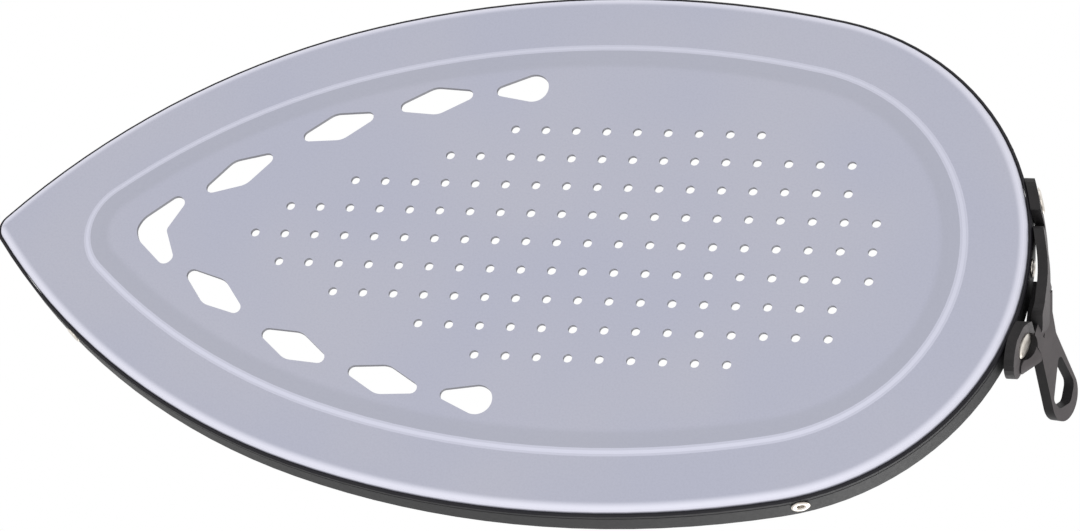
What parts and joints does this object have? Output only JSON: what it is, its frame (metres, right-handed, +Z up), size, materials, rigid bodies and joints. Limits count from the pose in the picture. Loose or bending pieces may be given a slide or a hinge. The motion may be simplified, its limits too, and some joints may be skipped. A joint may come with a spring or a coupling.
{
  "type": "iron shoe cover",
  "caption": "Pointed sheet-metal shoe that clips under a steam iron's sole, with steam holes, a dark rim and a rubber heel strap with a pull loop.",
  "frame": {"origin": "centre of the bounding box at the level of the holed panel's outer face", "axes": "+X from the tip to the heel, +Z up out of the open side, the outer face of the sole looks along -Z"},
  "size_m": [0.2452, 0.1278, 0.0319],
  "materials": {
    "coated_sheet": "satin non-stick coated sheet",
    "rim_black": "satin black",
    "strap_rubber": "matte moulded rubber",
    "fastener_steel": "bright plated"
  },
  "bodies": {
    "root": {"sole_plate": "coated_sheet", "frame_band": "rim_black", "strap": "strap_rubber", "rim_eyelet_heel": "fastener_steel", "rim_eyelet_side_left": "fastener_steel", "rim_eyelet_side_right": "fastener_steel", "rim_eyelet_tip_left": "fastener_steel", "rim_eyelet_tip_right": "fastener_steel", "strap_rivet_left": "fastener_steel", "strap_rivet_right": "fastener_steel"}
  },
  "joints": []
}
